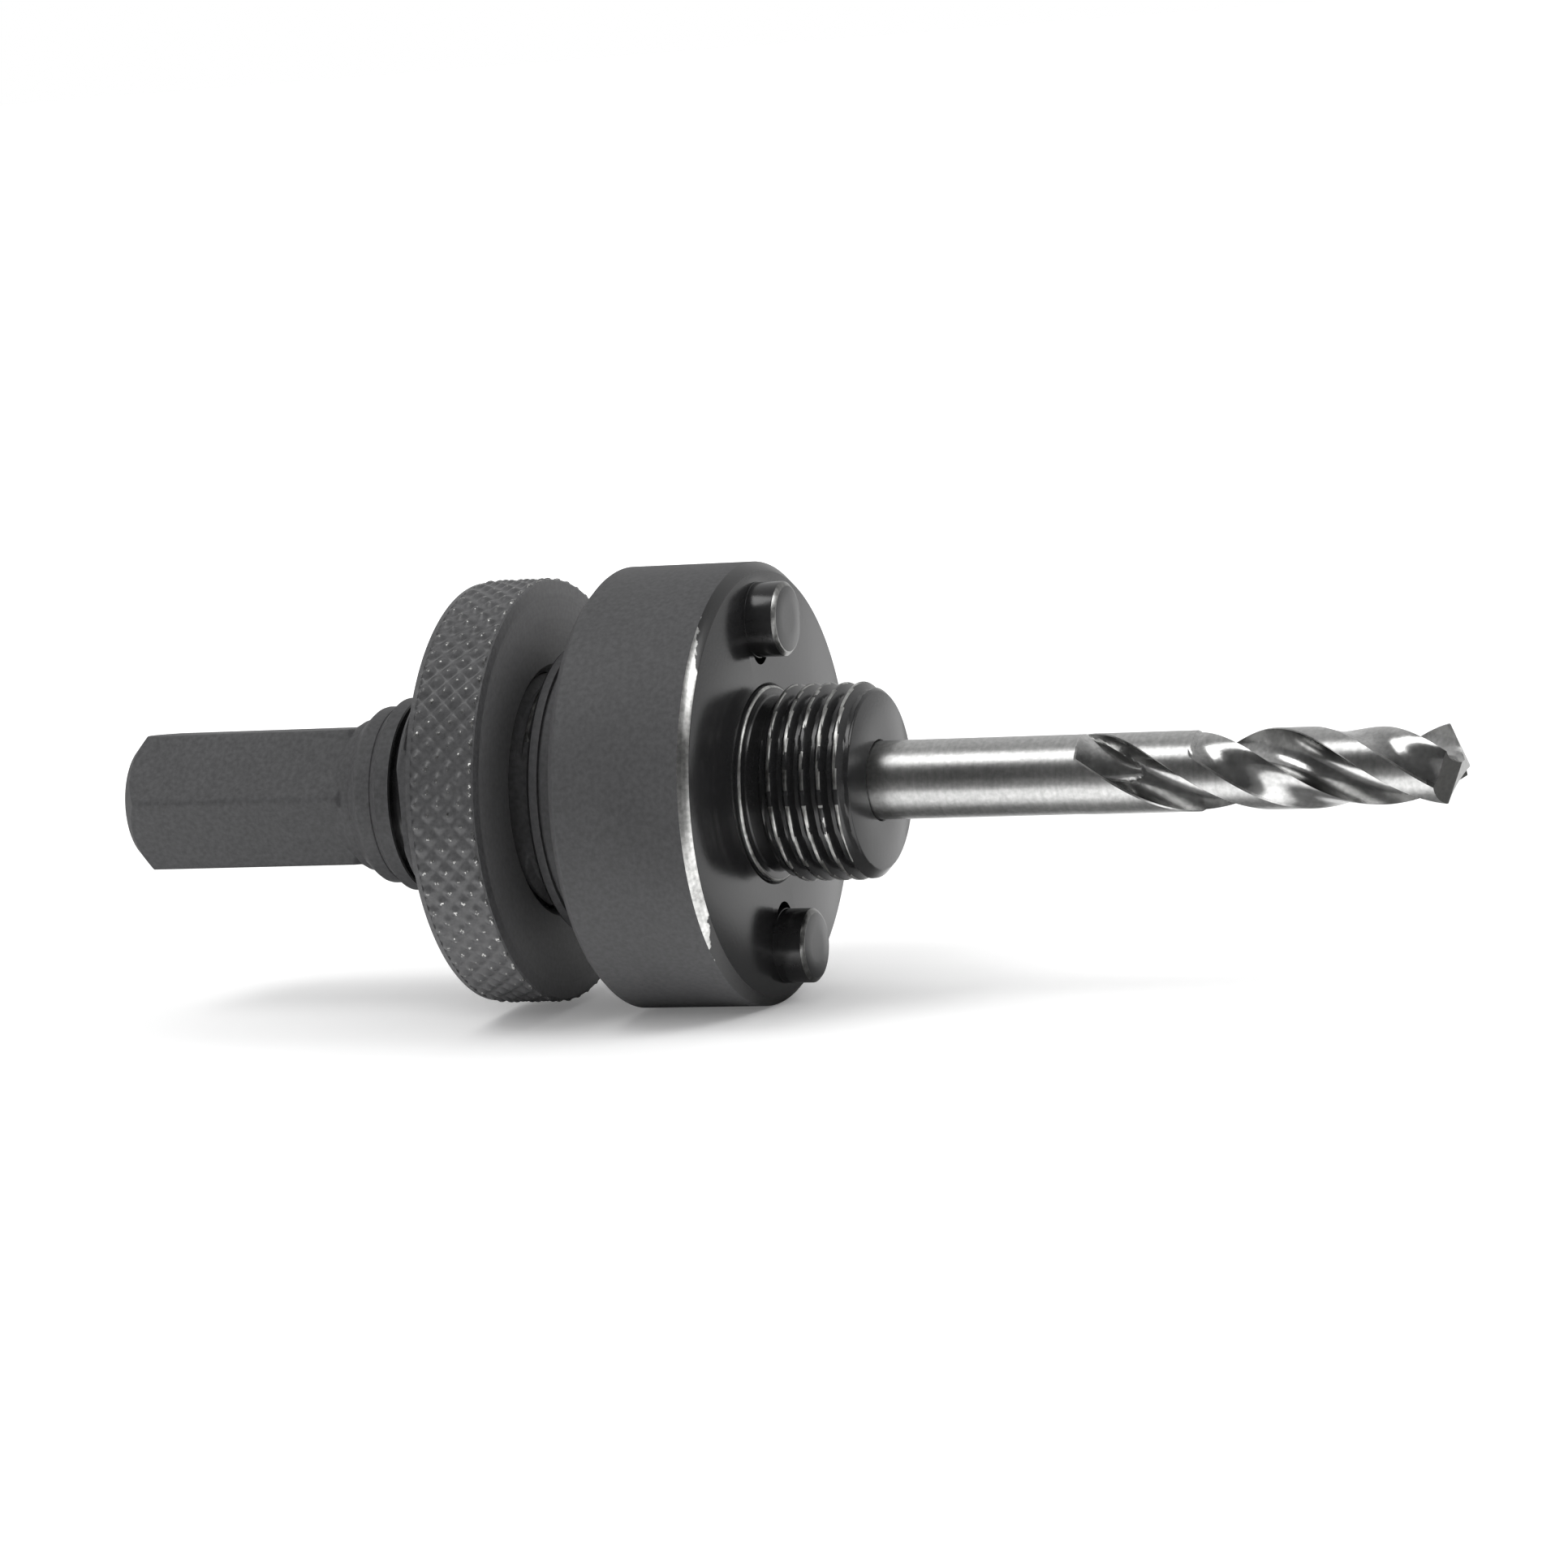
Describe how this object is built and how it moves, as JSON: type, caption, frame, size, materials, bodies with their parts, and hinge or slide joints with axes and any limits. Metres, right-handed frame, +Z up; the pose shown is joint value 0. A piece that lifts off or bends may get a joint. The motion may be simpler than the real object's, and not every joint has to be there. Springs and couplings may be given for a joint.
{
  "type": "hole saw arbor",
  "caption": "Arbor that carries a hole saw in a drill chuck: hexagon shank, threaded nose, lock nut, sliding drive plate with drive pins and a pilot drill.",
  "frame": {"origin": "on the spindle axis, in the plane of the drive plate's front face as it stands in the picture", "axes": "+X along the spindle towards the drill point, +Z up through the upper drive pin, Y across the two flats of the spindle body"},
  "size_m": [0.1135, 0.0356, 0.0357],
  "materials": {
    "spindle_steel": "steel with an oiled black oxide finish",
    "plate_steel": "turned steel with a black oxide finish",
    "pin_steel": "hardened steel with a black oxide finish",
    "nut_steel": "knurled steel with a black oxide finish",
    "drill_steel": "bright ground high speed steel",
    "screw_steel": "black oxide alloy steel"
  },
  "bodies": {
    "spindle": {"spindle": "spindle_steel"},
    "drive_plate": {"drive_plate": "plate_steel", "drive_pin_upper": "pin_steel", "drive_pin_lower": "pin_steel"},
    "lock_nut": {"lock_nut": "nut_steel"},
    "pilot_drill": {"pilot_drill": "drill_steel"},
    "set_screw": {"set_screw": "screw_steel"}
  },
  "joints": [
    {"name": "plate_slide", "type": "slide", "parent": "spindle", "child": "drive_plate", "axis": [1, 0, 0], "range_m": [-0.00265, 0.00265]},
    {"name": "nut_turn", "type": "hinge", "parent": "drive_plate", "child": "lock_nut", "pos_m": [-0.0215, 0, 0], "axis": [1, 0, 0], "range_deg": [-602, 602]},
    {"name": "drill_slide", "type": "slide", "parent": "spindle", "child": "pilot_drill", "axis": [1, 0, 0], "range_m": [0, 0.028]},
    {"name": "screw_turn", "type": "hinge", "parent": "spindle", "child": "set_screw", "pos_m": [-0.02695, 0.0054, 0], "axis": [0, 1, 0], "range_deg": [-720, 0]}
  ],
  "couplings": [
    {"joint": "nut_turn", "follows": "plate_slide", "rad_per_m": 3957.9}
  ]
}
